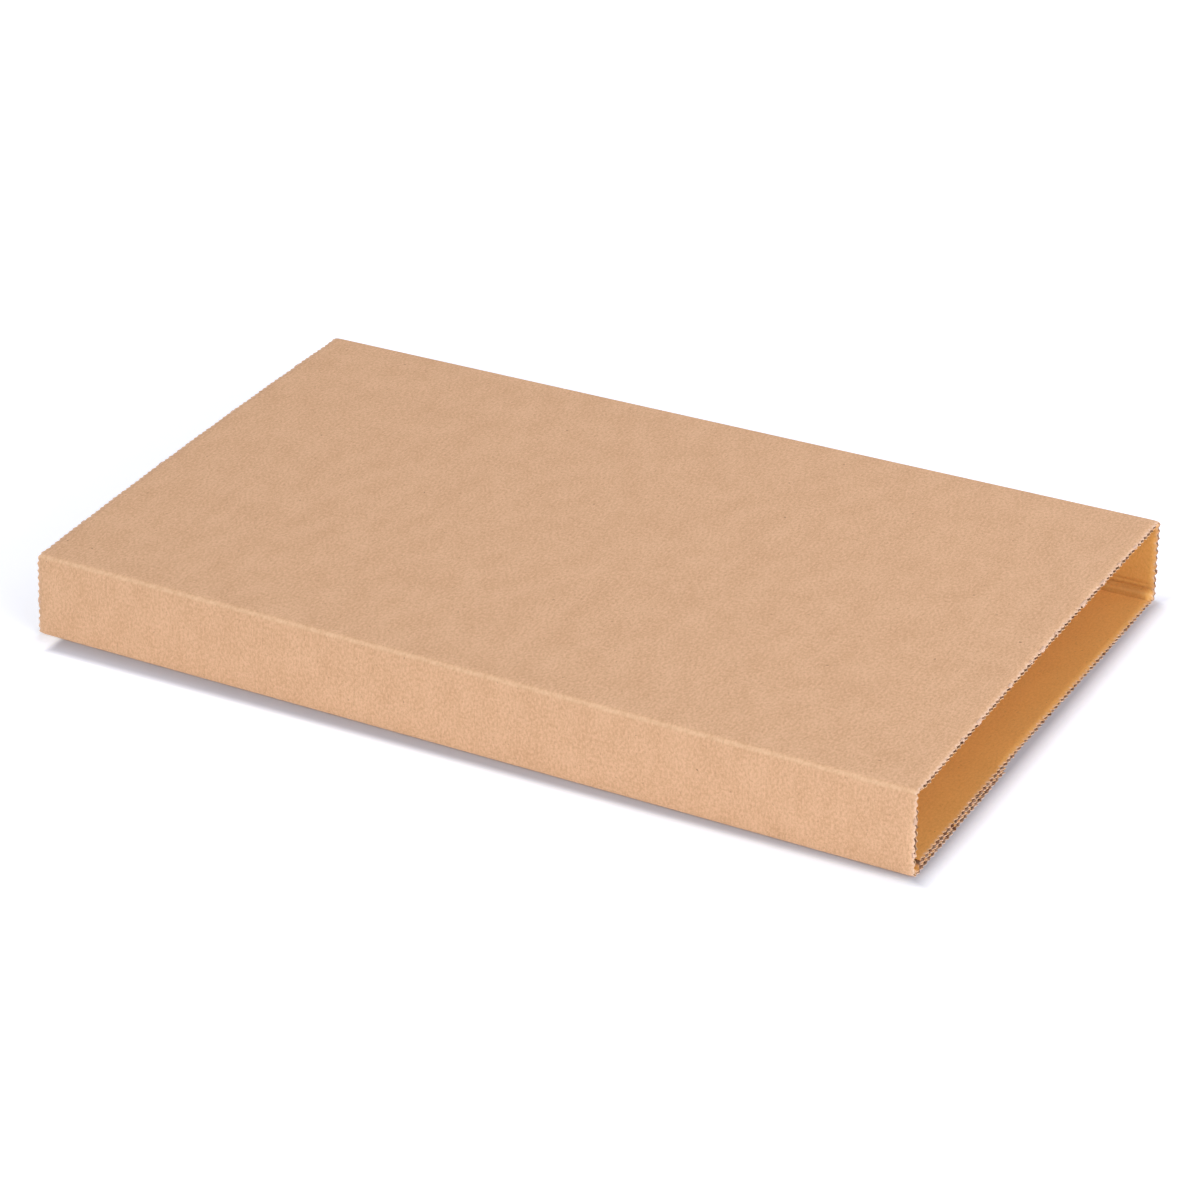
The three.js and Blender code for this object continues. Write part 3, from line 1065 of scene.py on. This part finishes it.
@dataclass
class BoardSleeve:
    """The folded sleeve: three plies that stand for the frame's one node."""

    section: Section
    liner_spacing: float = 0.55 * MM
    medium_spacing: float = 0.52 * MM
    scrap_thickness: float = 0.12 * MM
    liner_rows: tuple[float, ...] = (0, 0.25, 0.6, 1.1, 1.8, 3, 6, 14, 30, 55, 85, 120, 160, 195)
    medium_rows: tuple[float, ...] = (0, 0.4, 1.2, 2.4, 4, 20, 110)

    def plies(self) -> list[tuple[Ply, PaperFinish]]:
        """The three plies with their finishes, from the outside in."""
        section = self.section
        return [
            (Ply(PlyKind.OUTER_LINER, section, self.liner_spacing, self.liner_rows, 1), OUTER_KRAFT),
            (Ply(PlyKind.FLUTED_MEDIUM, section, self.medium_spacing, self.medium_rows, 2), MEDIUM_KRAFT_WITH_PAINTED_SHADE),
            (Ply(PlyKind.INNER_LINER, section, self.liner_spacing, self.liner_rows, 3), INNER_KRAFT),
        ]

    def build(self) -> None:
        """Builds, dresses and reports every ply."""
        stock = PaperStock()
        self.section.move_into(*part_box(NODE))
        pieces = [ply.build(finish.material(stock)) for ply, finish in self.plies()]
        pieces.append(self.tear(TORN_KRAFT.material(stock)))
        for piece in pieces:
            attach(piece, BODY)
            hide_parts(NODE)
            LOG.info("%s: %d faces", piece.name, len(piece.data.polygons))

    def tear(self, finish: Material) -> Object:
        """Makes the scraps of liner along both cut edges as one object.

        Args:
            finish: the torn paper's material.

        Returns:
            The object, at the origin.
        """
        bits = bmesh.new()
        for bit in TORN_BITS:
            bit.add_to(bits, self.section)
        bmesh.ops.solidify(bits, geom=bits.faces[:], thickness=self.scrap_thickness)
        bmesh.ops.recalc_face_normals(bits, faces=bits.faces)
        mesh = close_mesh("torn_bits", bits)
        map_sheet(mesh, vertex_places(mesh)[:, 1::-1])
        mesh.shade_smooth()
        mesh.materials.append(finish)
        return put_in_scene("torn_bits", mesh)


@dataclass(frozen=True)
class Softbox:
    """One square studio lamp, aimed at the sleeve: degrees, metres and watts."""

    name: str
    azimuth: float
    elevation: float
    distance: float
    size: float
    power: float
    colour: Triple = (1.0, 1.0, 1.0)

    def hang(self, target: Vector) -> None:
        """Adds the lamp to the scene.

        Args:
            target: the point that it faces.
        """
        lamp = bpy.data.lights.new(self.name, "AREA")
        lamp.shape, lamp.size = "SQUARE", self.size
        lamp.energy, lamp.color = self.power, self.colour
        back = away_from_sleeve(self.azimuth, self.elevation)
        piece = put_in_scene(self.name, lamp)
        piece.location = target + back * self.distance
        piece.rotation_euler = back.to_track_quat("Z", "Y").to_euler()


@dataclass(frozen=True)
class Studio:
    """White sweep, soft lamps and the camera at the photograph's place."""

    lens: float = 108.48
    sensor: float = 36.0
    azimuth: float = 32.924
    elevation: float = 30.550
    roll: float = 4.124
    distance: float = 1.6168
    target: Triple = (0.0017, 0.0021, 0.0063)
    floor_half: float = 4.0
    sky: float = 0.12
    bounce: Quad = (0.84, 0.83, 0.86, 1.0)  # floor as it lights the sleeve
    shade: Quad = (0.66, 0.68, 0.78, 1.0)  # floor as the camera sees it, tinted bluish as painted shade colour
    # camera-ray glow that whitens the floor outside the painted shadow beside the sleeve
    glow: float = 0.50
    front_fade: Pair = (0.0075, 0.0135)  # where the painted shadow beside each face ends
    far_fade: Pair = (0.6, 1.8)  # where the floor turns as white as the world beyond it
    # reaches of the painted shadow at the open end, at the left end and behind
    end_fade: float = 0.013
    left_fade: float = 0.006
    back_fade: Pair = (-0.020, 0.010)
    taper: float = 0.018  # how much narrower the front's painted shadow is, for each metre towards the open end
    lit_end: float = 0.015  # how far painted light from the left reaches along the front's painted shadow
    softboxes: tuple[Softbox, ...] = (
        Softbox("top_softbox", -170, 74, 2.5, 0.5, 18.5),
        Softbox("back_softbox", -150, 68, 2.5, 0.5, 9.3),
        Softbox("front_softbox", -17, 7, 2.5, 1.2, 37, (0.99, 1.0, 0.975)),
        Softbox("end_softbox", 70, 15, 2.5, 1.4, 43),
        Softbox("side_softbox", 90, 40, 2.5, 1.2, 10.5),
        Softbox("rim_softbox", 140, 50, 2.5, 1.2, 6),
    )

    def build(self) -> None:
        """Sets up the whole studio."""
        for softbox in self.softboxes:
            softbox.hang(Vector(self.target))
        self.make_world()
        self.make_floor()
        self.make_camera()

    def make_world(self) -> None:
        """Even soft light, and white where the camera sees past the floor."""
        world = bpy.data.worlds.new("studio")
        world.use_nodes = True
        bpy.context.scene.world = world
        bench = Bench(world.node_tree)
        seen = self.seen_directly(bench)
        strength = bench.band(seen, 0.0, 1.0, self.sky, 1.0)
        light = bench.add("Background", {"Strength": strength, "Color": (1.0, 1.0, 1.0, 1.0)})
        bench.add("OutputWorld", {"Surface": light.outputs[0]})

    @staticmethod
    def seen_directly(bench: Bench):
        """1 for a camera, glossy or transmission ray, otherwise 0."""
        rays = bench.add("LightPath").outputs
        seen = bench.maths("MAXIMUM", rays["Is Camera Ray"], rays["Is Glossy Ray"])
        return bench.maths("MAXIMUM", seen, rays["Is Transmission Ray"])

    def make_floor(self) -> None:
        """Pale floor that keeps the sleeve's rendered shadow, with a painted shadow beside the sleeve
        drawn by position, and is white away from it.
        """
        plane = bmesh.new()
        bmesh.ops.create_grid(plane, x_segments=1, y_segments=1, size=self.floor_half)
        mesh = close_mesh("floor", plane)
        floor = put_in_scene("floor", mesh)
        material = bpy.data.materials.new("white_sweep")
        material.use_nodes = True
        bench = Bench(material.node_tree)
        seen = self.seen_directly(bench)
        colour = bench.blend(seen, self.bounce, self.shade)
        matte = bench.add("BsdfDiffuse", {"Color": colour})
        painted_shadow_glow = bench.times(self.outside_painted_shadow(bench), self.glow)
        place = bench.add("TexCoord").outputs["Object"]
        away = bench.add("VectorMath", {0: place}, operation="LENGTH").outputs["Value"]
        lift = bench.times(seen, bench.maths("ADD", painted_shadow_glow, bench.band(away, *self.far_fade)))
        glow = bench.add("Emission", {"Strength": lift})
        both = bench.add("AddShader", {0: matte.outputs[0], 1: glow.outputs[0]})
        bench.add("OutputMaterial", {"Surface": both.outputs[0]})
        mesh.materials.append(material)

    def outside_painted_shadow(self, bench: Bench):
        """0 on the painted shadow beside the sleeve, 1 on the open floor.

        Args:
            bench: the floor material's bench.

        Returns:
            The share of open floor.
        """
        place = bench.add("TexCoord").outputs["Object"]
        axes = bench.add("SeparateXYZ", {0: place}).outputs
        low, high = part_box(NODE)
        minus = partial(bench.maths, "SUBTRACT")
        taper = bench.maths("MULTIPLY_ADD", axes[0], self.taper, self.taper * high.x)
        front = bench.maths("ADD", minus(low.y, axes[1]), taper)
        covered = minus(1.0, bench.maths("DIVIDE", minus(axes[0], high.x), self.end_fade, clamp=True))
        sides = (
            minus(1.0, bench.times(covered, covered)),
            bench.band(minus(low.x + self.lit_end, axes[0]), 0.0, self.left_fade),
            bench.band(minus(axes[1], high.y), *self.back_fade),
        )
        unshaded = bench.band(front, *self.front_fade)
        for side in sides:
            unshaded = bench.maths("MAXIMUM", unshaded, side)
        return unshaded

    def make_camera(self) -> None:
        """Adds the camera at the photograph's viewing angle."""
        camera = bpy.data.cameras.new("camera")
        camera.lens, camera.sensor_width = self.lens, self.sensor
        piece = put_in_scene("camera", camera)
        back = away_from_sleeve(self.azimuth, self.elevation)
        facing = (-back).to_track_quat("-Z", "Y").to_matrix().to_4x4()
        piece.matrix_world = (
            Matrix.Translation(Vector(self.target) + back * self.distance) @ facing
            @ Euler((0, 0, -math.radians(self.roll))).to_matrix().to_4x4()
        )
        bpy.context.scene.camera = piece


def main() -> None:
    """Builds the sleeve and its studio round the frame."""
    logging.basicConfig(level=logging.INFO, format="%(name)s: %(message)s")
    bpy.context.scene.view_settings.view_transform = "Standard"
    for thing in ("Cube", "Light", "Camera"):
        if thing in bpy.data.objects:
            bpy.data.objects.remove(bpy.data.objects[thing])
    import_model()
    Studio().build()
    BoardSleeve(Section(Board(), Tube())).build()


if __name__ == "__main__":
    main()
